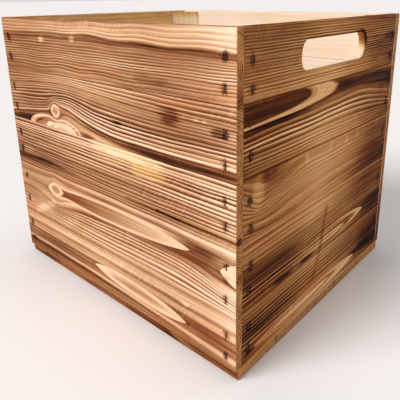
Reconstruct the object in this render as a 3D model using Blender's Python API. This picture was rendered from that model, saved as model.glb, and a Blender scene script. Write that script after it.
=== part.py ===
"""A wooden apple crate: butted boards stapled to triangular corner posts, over a boarded bottom.

The crate stands on z = 0 with its origin at the middle of its base. Its long walls run along X,
and the two end walls, each with a hand slot in its top board, stand between them. Front is -Y
and right is +X. Every board is its own object, and so is every post and staple.
"""

import math

import bmesh
import bpy
from mathutils import Matrix, Vector

# Driving dimensions, in metres.
LENGTH = 0.380  # outside, along X
WIDTH = 0.330  # outside, along Y
HEIGHT = 0.330  # from the ground to the rim
BOARD_THICKNESS = 0.009  # of the wall boards
FLOOR_THICKNESS = 0.011
GAP = 0.0003  # left between neighbouring pieces

# Heights above the ground of the four joints between a wall's five boards.
FRONT_JOINTS = (0.069, 0.148, 0.202, 0.268)
BACK_JOINTS = (0.075, 0.134, 0.203, 0.267)
RIGHT_JOINTS = (0.073, 0.138, 0.2030, 0.2685)
LEFT_JOINTS = (0.071, 0.136, 0.204, 0.2685)

POST_LEG = 0.032  # each of the two sides that lie against the walls
POST_TOP_DROP = 0.002  # the posts stop this far under the rim

FLOOR_BOARDS = 5
FLOOR_SETBACK = 0.0035  # the bottom is narrower than the walls by this much on each long side
FLOOR_SLIT = 0.0008  # open slit between two bottom boards

SLOT_LENGTH = 0.136
SLOT_HEIGHT = 0.029
SLOT_RADIUS = 0.012
SLOT_MID_HEIGHT = 0.299
SLOT_CHAMFER = 0.0012
SLOT_ARC_STEPS = 8

EDGE_ROUNDING = 0.0006
EDGE_STEPS = 2

STAPLE_CROWN = 0.0080  # lies across the grain
STAPLE_LEG = 0.0200
WIRE_WIDTH = 0.0011
WIRE_DEPTH = 0.0010
WIRE_ROUNDING = 0.00018
STAPLE_INSET = 0.0125  # from the end of a long wall to the middle of its staples
STAPLE_SHARE = 0.22  # how far up its board a wall staple sits, as a share of the board's height

HALF_LENGTH = LENGTH / 2
HALF_WIDTH = WIDTH / 2
WALL_BOTTOM = FLOOR_THICKNESS + GAP
END_HALF_SPAN = HALF_WIDTH - BOARD_THICKNESS - GAP
POST_CORNER_X = HALF_LENGTH - BOARD_THICKNESS - GAP
POST_CORNER_Y = HALF_WIDTH - BOARD_THICKNESS - GAP


def clear_scene():
    for thing in list(bpy.data.objects):
        bpy.data.objects.remove(thing, do_unlink=True)


def make_material(name, colour, roughness, metallic=0.0):
    material = bpy.data.materials.new(name)
    material.use_nodes = True
    shader = material.node_tree.nodes["Principled BSDF"]
    shader.inputs["Base Color"].default_value = (*colour, 1.0)
    shader.inputs["Roughness"].default_value = roughness
    shader.inputs["Metallic"].default_value = metallic
    return material


def add_object(name, bm, material=None):
    """Turns a finished bmesh into an object, with its faces pointing out."""
    bmesh.ops.recalc_face_normals(bm, faces=bm.faces)
    mesh = bpy.data.meshes.new(name)
    bm.to_mesh(mesh)
    bm.free()
    thing = bpy.data.objects.new(name, mesh)
    bpy.context.scene.collection.objects.link(thing)
    if material is not None:
        mesh.materials.append(material)
    return thing


def round_edges(bm, width, steps):
    bmesh.ops.bevel(
        bm, geom=list(bm.edges), offset=width, segments=steps, profile=0.5, affect="EDGES"
    )


def extrude_outline(bm, outline, travel):
    """A closed solid: the outline's face, carried along travel."""
    corners = [bm.verts.new(point) for point in outline]
    face = bm.faces.new(corners)
    grown = bmesh.ops.extrude_face_region(bm, geom=[face])["geom"]
    moved = [item for item in grown if isinstance(item, bmesh.types.BMVert)]
    bmesh.ops.translate(bm, verts=moved, vec=travel)


def add_board(name, low, high, material):
    """A planed board between two corners, with its edges slightly rounded."""
    low, high = Vector(low), Vector(high)
    bm = bmesh.new()
    bmesh.ops.create_cube(bm, size=1.0)
    bmesh.ops.scale(bm, vec=high - low, verts=bm.verts)
    bmesh.ops.translate(bm, vec=(low + high) / 2, verts=bm.verts)
    round_edges(bm, EDGE_ROUNDING, EDGE_STEPS)
    return add_object(name, bm, material)


def hide_cutter(cutter):
    cutter.hide_render = True
    cutter.display_type = "WIRE"


def cut(piece, cutter):
    boolean = piece.modifiers.new("cut_" + cutter.name, "BOOLEAN")
    boolean.operation = "DIFFERENCE"
    boolean.solver = "EXACT"
    boolean.object = cutter


def staple_outline(grow):
    """The staple seen flat: crown along X with its outer side at z = 0, legs down to pointed tips."""
    half = STAPLE_CROWN / 2
    outer, inner = half + grow, half - WIRE_DEPTH - grow
    top, under = grow, -WIRE_DEPTH - grow
    tip, heel = -STAPLE_LEG - grow, -STAPLE_LEG - grow + WIRE_DEPTH
    right = [(outer, top), (outer, tip), (inner, heel), (inner, under)]
    left = [(-x, z) for x, z in reversed(right)]
    return [(x, z) for x, z in right + left]


def add_staple_body(bm, placing, grow):
    half_wire = WIRE_WIDTH / 2 + grow
    outline = [placing @ Vector((x, -half_wire, z)) for x, z in staple_outline(grow)]
    travel = placing.to_3x3() @ Vector((0, 2 * half_wire, 0))
    extrude_outline(bm, outline, travel)


def add_staple(name, placing, material):
    bm = bmesh.new()
    add_staple_body(bm, placing, 0.0)
    round_edges(bm, WIRE_ROUNDING, 1)
    return add_object(name, bm, material)


def add_staple_cutter(name, placings):
    """The holes for a group of staples, each a little larger than its staple."""
    bm = bmesh.new()
    for placing in placings:
        add_staple_body(bm, placing, GAP)
    cutter = add_object(name, bm)
    hide_cutter(cutter)
    return cutter


def board_levels(joints):
    """Bottom and top height of each board of a wall, from the lowest board up."""
    bottoms = [WALL_BOTTOM] + [joint + GAP / 2 for joint in joints]
    tops = [joint - GAP / 2 for joint in joints] + [HEIGHT]
    return list(zip(bottoms, tops))


def slot_ring(grow):
    """The hand slot's outline in Y and Z, with round corners, larger all round by grow."""
    half_y = SLOT_LENGTH / 2 - SLOT_RADIUS
    half_z = SLOT_HEIGHT / 2 - SLOT_RADIUS
    points = []
    for quarter, (side_y, side_z) in enumerate(((1, 1), (-1, 1), (-1, -1), (1, -1))):
        for step in range(SLOT_ARC_STEPS + 1):
            angle = (quarter + step / SLOT_ARC_STEPS) * math.pi / 2
            y = side_y * half_y + (SLOT_RADIUS + grow) * math.cos(angle)
            z = side_z * half_z + (SLOT_RADIUS + grow) * math.sin(angle)
            points.append((y, SLOT_MID_HEIGHT + z))
    return points


def add_slot_cutter(name, side):
    """A plug the shape of the hand slot, flared at both faces of the board for a chamfered rim."""
    outside = HALF_LENGTH
    inside = HALF_LENGTH - BOARD_THICKNESS
    clear = 2 * SLOT_CHAMFER
    stations = (
        (inside - clear, SLOT_CHAMFER + clear),
        (inside + SLOT_CHAMFER, 0.0),
        (outside - SLOT_CHAMFER, 0.0),
        (outside + clear, SLOT_CHAMFER + clear),
    )
    bm = bmesh.new()
    rings = []
    for x, grow in stations:
        rings.append([bm.verts.new((side * x, y, z)) for y, z in slot_ring(grow)])
    for near, far in zip(rings, rings[1:]):
        for here in range(len(near)):
            after = (here + 1) % len(near)
            bm.faces.new((near[here], near[after], far[after], far[here]))
    bm.faces.new(rings[0])
    bm.faces.new(rings[-1])
    cutter = add_object(name, bm)
    hide_cutter(cutter)
    return cutter


def build_long_wall(wall, side, joints, wood, steel):
    """Front (side -1) or back (side 1): boards over the full length, stapled near their ends."""
    boards = []
    placings = {}
    for number, (bottom, top) in enumerate(board_levels(joints), 1):
        faces_y = sorted((side * HALF_WIDTH, side * (HALF_WIDTH - BOARD_THICKNESS)))
        low = (-HALF_LENGTH, faces_y[0], bottom)
        high = (HALF_LENGTH, faces_y[1], top)
        boards.append(add_board(f"{wall}_board_{number}", low, high, wood))
        for end, sign in (("left", -1), ("right", 1)):
            x = sign * (HALF_LENGTH - STAPLE_INSET)
            z = bottom + STAPLE_SHARE * (top - bottom)
            outwards = Matrix.Rotation(-side * math.pi / 2, 4, "X")
            upright = Matrix.Rotation(math.pi / 2, 4, "Z")
            placings[f"staple_{wall}_{end}_{number}"] = (
                Matrix.Translation((x, side * HALF_WIDTH, z)) @ outwards @ upright
            )
    for name, placing in placings.items():
        add_staple(name, placing, steel)
    cutter = add_staple_cutter(f"{wall}_staple_holes", placings.values())
    for board in boards:
        cut(board, cutter)
    return cutter


def build_end_wall(wall, side, joints, wood):
    """Left (side -1) or right (side 1): boards between the long walls, the top one slotted."""
    boards = []
    for number, (bottom, top) in enumerate(board_levels(joints), 1):
        faces_x = sorted((side * HALF_LENGTH, side * (HALF_LENGTH - BOARD_THICKNESS)))
        low = (faces_x[0], -END_HALF_SPAN, bottom)
        high = (faces_x[1], END_HALF_SPAN, top)
        is_top = number == len(joints) + 1
        name = f"{wall}_handle_board" if is_top else f"{wall}_board_{number}"
        boards.append(add_board(name, low, high, wood))
    cut(boards[-1], add_slot_cutter(f"{wall}_slot", side))
    return boards


def build_post(name, side_x, side_y, wood, cutter):
    """A triangular batten in one inside corner, its two legs against the walls."""
    bottom = WALL_BOTTOM
    top = HEIGHT - POST_TOP_DROP
    corner = Vector((side_x * POST_CORNER_X, side_y * POST_CORNER_Y, bottom))
    outline = [
        corner,
        corner - Vector((side_x * POST_LEG, 0, 0)),
        corner - Vector((0, side_y * POST_LEG, 0)),
    ]
    bm = bmesh.new()
    extrude_outline(bm, outline, Vector((0, 0, top - bottom)))
    round_edges(bm, EDGE_ROUNDING, 1)
    post = add_object(name, bm, wood)
    cut(post, cutter)


def build_floor(wood, steel, end_boards):
    """Bottom boards along X, set back from the long walls and stapled up into the end walls."""
    span = WIDTH - 2 * FLOOR_SETBACK
    board_width = (span - (FLOOR_BOARDS - 1) * FLOOR_SLIT) / FLOOR_BOARDS
    boards = []
    placings = {}
    for number in range(FLOOR_BOARDS):
        y = -span / 2 + number * (board_width + FLOOR_SLIT)
        low = (-HALF_LENGTH, y, 0)
        high = (HALF_LENGTH, y + board_width, FLOOR_THICKNESS)
        boards.append(add_board(f"floor_board_{number + 1}", low, high, wood))
        for end, sign in (("left", -1), ("right", 1)):
            middle = (sign * (HALF_LENGTH - BOARD_THICKNESS / 2), y + board_width / 2, 0)
            along_y = Matrix.Rotation(math.pi / 2, 4, "Z")
            outwards = Matrix.Rotation(math.pi, 4, "X")
            placings[f"staple_floor_{end}_{number + 1}"] = (
                Matrix.Translation(middle) @ along_y @ outwards
            )
    for name, placing in placings.items():
        add_staple(name, placing, steel)
    cutter = add_staple_cutter("floor_staple_holes", placings.values())
    for board in boards + end_boards:
        cut(board, cutter)


def build_crate():
    scorched = make_material("scorched_spruce", (0.34, 0.17, 0.075), 0.62)
    pale = make_material("pale_spruce", (0.80, 0.60, 0.38), 0.66)
    bottom_wood = make_material("bottom_spruce", (0.50, 0.32, 0.17), 0.70)
    steel = make_material("staple_steel", (0.16, 0.12, 0.10), 0.45, 1.0)

    front_holes = build_long_wall("front", -1, FRONT_JOINTS, scorched, steel)
    back_holes = build_long_wall("back", 1, BACK_JOINTS, scorched, steel)
    right = build_end_wall("right", 1, RIGHT_JOINTS, scorched)
    left = build_end_wall("left", -1, LEFT_JOINTS, scorched)
    build_post("post_front_right", 1, -1, pale, front_holes)
    build_post("post_front_left", -1, -1, pale, front_holes)
    build_post("post_back_right", 1, 1, pale, back_holes)
    build_post("post_back_left", -1, 1, pale, back_holes)
    build_floor(bottom_wood, steel, [right[0], left[0]])


clear_scene()
build_crate()
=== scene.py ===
"""The looks of the wooden apple crate: flame-scorched boards, posts, staples, light, floor and camera.

Lengths in the tables of grain are millimetres in the row frame. Everything else is in metres.
Tone is how burnt the wood is, with painted shade added in a few marks: 0 is pale bare wood, 0.5 is brown and
1 is black.
"""

import math
import zlib

import bmesh
import bpy
import numpy as np
from mathutils import Matrix, Vector


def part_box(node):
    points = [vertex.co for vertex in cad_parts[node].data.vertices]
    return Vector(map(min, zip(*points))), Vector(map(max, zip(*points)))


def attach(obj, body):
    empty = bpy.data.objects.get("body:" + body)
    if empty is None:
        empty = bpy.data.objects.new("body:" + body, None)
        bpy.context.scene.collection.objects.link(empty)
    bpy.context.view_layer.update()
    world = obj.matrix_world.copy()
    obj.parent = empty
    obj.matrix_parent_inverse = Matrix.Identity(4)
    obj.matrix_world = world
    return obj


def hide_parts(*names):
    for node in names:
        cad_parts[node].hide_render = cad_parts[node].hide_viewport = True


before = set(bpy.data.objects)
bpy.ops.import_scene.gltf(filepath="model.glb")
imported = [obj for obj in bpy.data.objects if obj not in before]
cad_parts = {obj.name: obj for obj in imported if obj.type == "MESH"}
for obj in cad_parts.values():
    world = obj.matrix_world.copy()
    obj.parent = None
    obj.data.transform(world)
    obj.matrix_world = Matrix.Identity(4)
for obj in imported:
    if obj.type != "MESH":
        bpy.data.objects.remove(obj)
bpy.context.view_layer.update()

MM = 0.001
BODY = "root"

# ---- sizes, in metres

EDGE_RADIUS = 0.0007
EDGE_STEPS = (0.3, 0.65, 1.0)
EDGE_WEAR = 0.0002
FACE_BOW = 0.00022
STEP_ALONG = 0.0032
STEP_ACROSS = 0.0013
STEP_PLAIN = (0.0045, 0.0022)
STEP_KNOT = 0.0014
STEP_DEEP = 0.0022

CROWN_LENGTH = 0.008
WIRE_WIDTH = 0.0011
WIRE_DEPTH = 0.0010
WIRE_BEND = 0.0008
WIRE_SIDES = 8
STUB_DEPTH = 0.003  # how far the wire goes into the wood before it is cut short
DENT_HALF = (0.0021, 0.0045)
DENT_DEPTH = 0.0008
DENT_STEPS = (0.0005, 0.0008)
FINE_HALF = (0.0037, 0.0062)  # half the span with close steps round a dent, along and across the grain

# ---- camera and light

CAMERA_PLACE = (0.4104, -0.4431, 0.3514)
CAMERA_YAW = math.radians(41.06)
CAMERA_PITCH = math.radians(16.66)
CAMERA_ROLL = math.radians(-0.54)
CAMERA_LENS = 41.72
CAMERA_SHIFT = (-0.04, -0.16)
WORLD_AT_HORIZON = 0.72
WORLD_ABOVE = 0.18


def add_camera():
    """The camera, from the front right and a little above."""
    flat = math.cos(CAMERA_PITCH)
    forward = Vector((-math.sin(CAMERA_YAW) * flat, math.cos(CAMERA_YAW) * flat, -math.sin(CAMERA_PITCH)))
    level = Vector((math.cos(CAMERA_YAW), math.sin(CAMERA_YAW), 0.0))
    upright = level.cross(forward)
    right = level * math.cos(CAMERA_ROLL) + upright * math.sin(CAMERA_ROLL)
    up = upright * math.cos(CAMERA_ROLL) - level * math.sin(CAMERA_ROLL)
    data = bpy.data.cameras.new("camera")
    data.sensor_width = 36.0
    data.lens = CAMERA_LENS
    data.shift_x, data.shift_y = CAMERA_SHIFT
    data.clip_start = 0.01
    camera = bpy.data.objects.new("camera", data)
    turn = Matrix((right, up, -forward)).transposed().to_4x4()
    camera.matrix_world = Matrix.Translation(CAMERA_PLACE) @ turn
    bpy.context.scene.collection.objects.link(camera)
    bpy.context.scene.camera = camera


def add_sky_light(name, heading, height, softness, strength, color):
    """A soft distant light from that heading and height, in degrees; heading 0 is +X and 90 is +Y."""
    data = bpy.data.lights.new(name, "SUN")
    data.angle = math.radians(softness)
    data.energy = strength
    data.color = color
    heading, height = math.radians(heading), math.radians(height)
    flat = math.cos(height)
    source = Vector((math.cos(heading) * flat, math.sin(heading) * flat, math.sin(height)))
    light = bpy.data.objects.new(name, data)
    light.rotation_euler = source.to_track_quat("Z", "Y").to_euler()
    bpy.context.scene.collection.objects.link(light)


def add_studio():
    """Pale floor, near-white surroundings and soft lights, the main one from the front left."""
    mesh = bpy.data.meshes.new("floor")
    half, level = 60.0, -0.0004
    corners = [(x * half, y * half, level) for x, y in ((-1, -1), (1, -1), (1, 1), (-1, 1))]
    mesh.from_pydata(corners, [], [(0, 1, 2, 3)])
    floor = bpy.data.objects.new("floor", mesh)
    bpy.context.scene.collection.objects.link(floor)
    material = bpy.data.materials.new("studio_floor")
    material.use_nodes = True
    shader = material.node_tree.nodes["Principled BSDF"]
    shader.inputs["Base Color"].default_value = (0.9, 0.895, 0.89, 1.0)
    shader.inputs["Roughness"].default_value = 0.9
    mesh.materials.append(material)

    world = bpy.data.worlds.new("studio")
    world.use_nodes = True
    tree = world.node_tree
    background = tree.nodes["Background"]
    background.inputs["Color"].default_value = (1.0, 0.985, 0.975, 1.0)
    place = tree.nodes.new("ShaderNodeTexCoord")
    parts = tree.nodes.new("ShaderNodeSeparateXYZ")
    height = tree.nodes.new("ShaderNodeMapRange")
    for socket, value in zip(list(height.inputs)[1:5], (0.2, 0.55, WORLD_AT_HORIZON, WORLD_ABOVE)):
        socket.default_value = value
    tree.links.new(place.outputs["Generated"], parts.inputs[0])
    tree.links.new(parts.outputs["Z"], height.inputs[0])
    tree.links.new(height.outputs[0], background.inputs["Strength"])
    bpy.context.scene.world = world
    bpy.context.scene.view_settings.view_transform = "Standard"

    add_sky_light("key", -112.0, 42.0, 28.0, 2.28, (1.0, 0.965, 0.96))
    add_sky_light("overhead", 60.0, 84.0, 40.0, 0.85, (1.0, 0.99, 0.98))


# ---- grain fields, in numpy

NO_FLAME = -9.0
NO_KNOT = 9.0


def track(points, s):
    """A smooth line through given (along, value) points, level beyond its ends; or one number."""
    if not isinstance(points, list):
        return np.full_like(s, float(points))
    knots, values = (np.array(column, float) for column in zip(*points))
    slopes = np.gradient(values, knots) if len(knots) > 2 else np.zeros(2)
    k = np.clip(np.searchsorted(knots, s) - 1, 0, len(knots) - 2)
    width = knots[k + 1] - knots[k]
    u = np.clip((s - knots[k]) / width, 0.0, 1.0)
    rise = u * u * (3.0 - 2.0 * u)
    bend = width * (u * (1.0 - u) ** 2 * slopes[k] - u * u * (1.0 - u) * slopes[k + 1])
    return values[k] * (1.0 - rise) + values[k + 1] * rise + bend


def smooth(low, high, value):
    """0 below low, 1 above high and a soft step between."""
    u = np.clip((value - low) / (high - low), 0.0, 1.0)
    return u * u * (3.0 - 2.0 * u)


def toward(value, target, share):
    return value + (target - value) * share


def ripple(seed, s, t, length_s, length_t, waves=7):
    """Smooth noise from -1 to 1 or so, with that wavelength along and across the grain."""
    random = np.random.default_rng(seed)
    total = np.zeros_like(s)
    for _ in range(waves):
        turn_s, turn_t = random.normal(size=2)
        total += np.sin(2 * math.pi * (turn_s * s / length_s + turn_t * t / length_t + random.random()))
    return total / math.sqrt(waves)


def strata(levels, s, t):
    """Ring count, tone and line contrast at (s, t), between the levels listed from the lowest up."""
    heights = np.array([track(level[0], s) for level in levels])
    tones = np.array([track(level[1], s) for level in levels])
    contrasts = np.array([track(level[3], s) for level in levels])
    rings = np.concatenate([[0.0], np.cumsum([level[2] for level in levels])])
    column = np.arange(len(s))
    k = np.clip((heights <= t).sum(0) - 1, 0, len(levels) - 2)
    low, high = heights[k, column], heights[k + 1, column]
    w = (t - low) / np.maximum(high - low, 0.3)
    inside = np.clip(w, 0.0, 1.0)
    phase = rings[k] + w * (rings[k + 1] - rings[k])
    tone = tones[k, column] * (1.0 - inside) + tones[k + 1, column] * inside
    contrast = contrasts[k, column] * (1.0 - inside) + contrasts[k + 1, column] * inside
    return phase, tone, contrast


class Flame:
    """A closed flame of the grain between two tips, with a light rim round its core.

    border is the rim's share of the half height, core and rim are the tones at each tip, and roundness
    is 1 for straight sides that meet in points and 2 for an ellipse.
    """

    def __init__(self, tip, other_tip, half, border, core, rim=(0.12, 0.12), roundness=1.35):
        self.tips = (tip, other_tip)
        self.half = half
        self.border = border
        self.core = core
        self.rim = rim
        self.roundness = roundness

    def read(self, s, t):
        """(level, core tone, rim tone): the level is above 0 inside, and 1 where the rim ends."""
        (s0, t0), (s1, t1) = self.tips
        a = (s - s0) / (s1 - s0)
        off = (t - t0 - (t1 - t0) * a) / self.half
        level = (1.0 - np.abs(2.0 * a - 1.0) ** 2.2 - np.abs(off) ** self.roundness) / self.border
        a = np.clip(a, 0.0, 1.0)
        core, rim = ((1.0 - a) * first + a * last for first, last in (self.core, self.rim))
        return level, core, rim


def placed(points, reach):
    """A track's points: a bare value gets the place that even spacing from -reach to reach gives it."""
    if not isinstance(points, list):
        return points
    places = np.linspace(-reach, reach, len(points))
    return [point if isinstance(point, tuple) else (place, point) for place, point in zip(places, points)]


class Grain:
    """What one board's surface looks like: levels, flames, knots, patches, bare spots and strokes."""

    def __init__(
        self, reach, levels, flames=(), knots=(), patches=(), bare=(), strokes=(), slant=0.5, wobble=0.7
    ):
        self.levels = [[placed(entry, reach) for entry in level] for level in levels]
        self.flames = flames
        self.knots = knots
        self.patches = patches
        self.bare = bare
        self.strokes = strokes
        self.slant = slant
        self.wobble = wobble


def read_grain(grain, seed, s, t, d):
    """The fields of a board at points (s along, t across, d deep), all in millimetres."""
    t_rings = t + grain.slant * d - 0.05 * grain.slant * d * d
    t_rings = t_rings + grain.wobble * ripple(seed, s, t, 130.0, 45.0)
    t_rings = t_rings + 0.25 * grain.wobble * ripple(seed + 1, s, t, 38.0, 12.0)
    knot_level = np.full_like(s, NO_KNOT)
    for ks, kt, radius, stretch, roundness in grain.knots:
        off_s, off_t = np.abs(s - ks) / (radius * stretch), np.abs(t - kt) / radius
        level = (off_s**roundness + off_t**roundness) ** (1.0 / roundness)
        push = 1.0 - np.exp(-0.9 * np.maximum(level**2 - 1.0, 0.0))
        t_rings = kt + (t_rings - kt) * push
        knot_level = np.minimum(knot_level, level)
    phase, tone, contrast = strata(grain.levels, s, t_rings)
    flame = np.full_like(s, NO_FLAME)
    core = np.zeros_like(s)
    rim = np.zeros_like(s)
    for shape in grain.flames:
        level, shape_core, shape_rim = shape.read(s, t + 0.6 * (t_rings - t))
        over = (level > 0.0) | (level > flame)
        core = np.where(over, shape_core, core)
        rim = np.where(over, shape_rim, rim)
        flame = np.where(over, level, flame)
    added = np.zeros_like(s)
    for ps, pt, half_s, half_t, amount in grain.patches:
        far = np.hypot((s - ps) / half_s, (t - pt) / half_t)
        added += amount * (1.0 - smooth(0.45, 1.25, far + 0.2 * ripple(seed + 2, s, t, 45.0, 4.0)))
    for (s0, t0), (s1, t1), half, amount in grain.strokes:
        run = np.array([s1 - s0, t1 - t0])
        share = np.clip(((s - s0) * run[0] + (t - t0) * run[1]) / run.dot(run), 0.0, 1.0)
        far = np.hypot(s - s0 - share * run[0], t - t0 - share * run[1]) / half
        added += amount * (1.0 - smooth(0.2, 1.1, far + 0.15 * ripple(seed + 9, s, t, 6.0, 3.0)))
    tone, core, rim = tone + added, core + added, rim + added
    raw = np.zeros_like(s)
    for ps, pt, half_s, half_t, amount in grain.bare:
        far = np.hypot((s - ps) / half_s, (t - pt) / half_t) + 0.15 * ripple(seed + 3, s, t, 30.0, 6.0)
        raw = np.maximum(raw, amount * (1.0 - smooth(0.6, 1.15, far)))
    return {
        "phase": phase,
        "tone": tone - 0.02 * raw,
        "contrast": contrast * (1.0 - 0.6 * raw),
        "flare": np.clip(flame, NO_FLAME, -NO_FLAME),
        "core": core,
        "rim": rim,
        "knot": knot_level,
        "raw": raw,
    }


# ---- the boards' grain
# A level is (height across the board, tone, rings up to the next level, contrast of their lines).
# A height, tone or contrast is a number, or a list of (place along the grain, value). A bare value in
# a list stands where even spacing from end to end of the wall puts it: at an end or in the middle.
# A knot is (along, across, radius, stretch, roundness as in a Flame).
# A patch is (along, across, half sizes, tone added), and a bare spot the same with the paleness last.
# A stroke is (end, other end, half width, tone added).

# Half lengths of the walls, and the char that lies along a joint and marks both of its boards.
LONG_WALL, END_WALL = 190, 155
JOINT_CHAR = [((40, 149), (120, 148), 1.3, 0.25), ((88, 148.6), (192, 146.8), 2.2, 0.26)]

GRAINS = {}
GRAINS["front_board_5"] = Grain(LONG_WALL, [
    (268, [0.46, (0, 0.38), (100, 0.52), 0.52], 2, 0.16),
    ([277, 276], [0.56, (-60, 0.48), (40, 0.52), 0.5], 3, 0.22),
    ([286, 285], [0.44, 0.46, 0.46], 4, 0.3),
    ([297, 296], [0.44, 0.48, 0.48], 3, 0.35),
    ([306, 307, 303], [0.5, (-60, 0.5), (60, 0.52), 0.56], 2, 0.2),
    ([313, (-20, 315), (60, 311), 309], [0.45, (-60, 0.6), (60, 0.76), 0.84], 0.4, 0.1),
    ([315.2, (-20, 317.2), (60, 314), 312], [0.28, 0.22, 0.26], 2.5, 0.2),
    ([325, 324], [0.28, (0, 0.27), (130, 0.24), 0.14], 1, 0.16),
    (329.5, [0.45, (60, 0.4), (150, 0.2), 0.1], 0.5, 0.1),
], patches=[(-98, 307, 7, 4, -0.35), (-35, 310, 5, 4, -0.3), (88, 279, 26, 5, 0.16)])
GRAINS["front_board_4"] = Grain(LONG_WALL, [
    ([190, (-60, 196), (0, 190), 190], [0.7, 0.4, 0.75], 1, 0.1),
    ([203, (-60, 216), (-20, 209), (20, 204), (75, 199), 198],
     [0.72, (-100, 0.66), (-40, 0.3), (20, 0.2), (75, 0.3), (100, 0.74), 0.84], 0.5, 0.1),
    ([206, (-150, 210), (-105, 216), (-60, 221), (-22, 213), (20, 207), (80, 204), 204],
     [0.7, (-100, 0.65), (-60, 0.45), (0, 0.6), (60, 0.76), 0.84], 1, 0.12),
    ([208, (-150, 212.5), (-105, 219), (-60, 227), (-25, 218), (20, 211), (80, 209.5), 210.5],
     [0.6, (-60, 0.5), (0, 0.68), (60, 0.82), 0.9], 0.3, 0.12),
    ([210, (-150, 215), (-105, 222), (-60, 230), (-25, 220.5), (20, 213), (80, 211.5), 212.5],
     [0.34, (-105, 0.36), (-60, 0.2), (0, 0.18), 0.22], 4.4, [0.5, 0.7, 0.66]),
    ([231, (-105, 236), (-60, 242), (0, 233), (60, 230), 230],
     [0.44, (-60, 0.68), (0, 0.64), 0.68], 3.2, [0.45, 0.6, 0.55]),
    ([243, (-60, 252), (60, 244), 241], [0.48, 0.46, 0.5], 4, 0.3),
    ([255, (-60, 262), (60, 256), 252], [0.42, (0, 0.34), (130, 0.5), 0.66], 3, 0.26),
    ([267, 269, 266], [0.48, 0.32, 0.54], 3, 0.24),
    (276, 0.4, 1, 0.2),
], flames=[
    Flame((-146, 201), (-33, 201), 17, 0.32, (0.72, 0.5), roundness=2.0),
    Flame((-128, 199), (-38, 201), 13.5, 0.3, (0.45, 0.3), (0.5, 0.5), 2.0),
    Flame((-108, 202), (-42, 201), 11, 0.5, (0.42, 0.3), (0.08, 0.08), 2.0),
    Flame((-92, 203), (-50, 202), 6.5, 0.5, (0.2, 0.2), (0.08, 0.08), 2.0),
], knots=[(-84, 224, 8.5, 1.2, 1.8)], patches=[
    (-150, 207, 34, 4.5, 0.1), (-22, 205, 13, 3, 0.35), (112, 249, 15, 9, 0.3),
    (171, 243, 9, 5, 0.32), (-175, 236, 20, 6, -0.1), (10, 206, 60, 3, -0.05),
    (33, 229, 9, 3, 0.25), (145, 251, 3, 1.5, -0.3), (155, 251, 3, 1.5, -0.3),
], wobble=0.4)
GRAINS["front_board_3"] = Grain(LONG_WALL, [
    (147, [0.7, (-60, 0.5), (60, 0.55), 0.6], 1, 0.1),
    ([153, (-120, 154), (-60, 151), (0, 149.5), 149], [0.72, (-90, 0.78), (-50, 0.55), 0.5], 0.3, 0.1),
    ([156, (-120, 156.5), (-60, 154), (0, 152), 152], [0.5, (-60, 0.56), (40, 0.52), 0.42], 3.4, 0.2),
    ([167, 165, 164], [0.56, (-60, 0.58), (0, 0.54), 0.5], 2, 0.4),
    ([176, 174, 172], [0.42, 0.44, 0.36], 3, 0.5),
    ([189, 187, 187], [0.4, 0.42, 0.46], 2.5, [0.35, (60, 0.45), 0.6]),
    (196, [0.28, 0.2, 0.32], 1.5, [0.35, (60, 0.45), 0.6]),
    (202, [0.38, 0.24, 0.34], 1, 0.5),
], patches=[(120, 185, 45, 8, 0.06), (-160, 162, 14, 5, -0.14), (-155, 175, 30, 3, 0.1)],
strokes=JOINT_CHAR, bare=[(45, 198, 66, 8, 0.95), (78, 186, 30, 9, 0.85), (20, 188, 40, 6, 0.4)],
wobble=0.35)
GRAINS["front_board_2"] = Grain(LONG_WALL, [
    (68.5, [0.45, (-60, 0.5), (0, 0.55), 0.55], 1, 0.15),
    ([73, 72], [0.26, 0.3, 0.26], 2, 0.15),
    ([84, (0, 82), (120, 84), 78], [0.34, 0.32, 0.16], 2.4, [0.2, 0.36]),
    ([97, (-110, 91), (0, 94), (120, 95), 86], [0.4, 0.4, 0.34], 2.5, 0.5),
    ([105, (-150, 103), (-108, 95), (-50, 102), (60, 106), (130, 105), 93],
     [0.38, (-110, 0.34), (-50, 0.44), (0, 0.44), (130, 0.34), 0.16], 0.6, 0.3),
    ([108, (-150, 106), (-108, 98), (-50, 105), (60, 109), (130, 108), 96],
     [0.48, (-110, 0.5), (-40, 0.66), (0, 0.66), (130, 0.64), 0.24], 0.4, 0.15),
    ([111, (-150, 109.5), (-108, 101), (-50, 107.5), (60, 111.5), (130, 111), 103],
     [0.2, (0, 0.2), (130, 0.75), 0.6], 2, 0.1),
    ([120, (-108, 116), (60, 120), 118],
     [0.36, (-120, 0.4), (0, 0.3), (130, 0.68), (165, 0.62), 0.3], 2, 0.12),
    ([128, (-60, 128.5), (60, 131), (130, 129), 127],
     [0.2, (0, 0.18), (110, 0.2), (140, 0.7), 0.45], 0.5, 0.1),
    ([131, 133, 131], [0.5, (-60, 0.66), (0, 0.76), (100, 0.7), 0.52], 0.6, 0.1),
    ([136, 137, 135], [0.25, 0.18, 0.12], 1, 0.15),
    ([141, 142, 140], [0.46, 0.52, 0.46], 2, 0.25),
    (147.5, [0.6, (-60, 0.46), (60, 0.5), 0.5], 1, 0.15),
], flames=[
    Flame((-122, 117), (134, 121), 11, 0.28, (0.82, 0.1)),
    Flame((171, 114), (300, 118), 19, 0.6, (0.25, 0.25), (0.06, 0.06)),
], knots=[(-104, 118, 10.5, 1.75, 1.35)], patches=[
    (-135, 86, 22, 11, -0.08), (152, 119, 24, 10, 0.04), (-160, 119, 42, 5, 0.04),
    (-160, 84, 40, 8, -0.06), (150, 139, 50, 4, -0.1), (178, 108, 4, 4, 0.15),
], strokes=JOINT_CHAR + [((-158, 74), (-112, 97), 7, -0.16), ((-88, 76), (-60, 92), 9, -0.05)], wobble=0.35)
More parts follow.
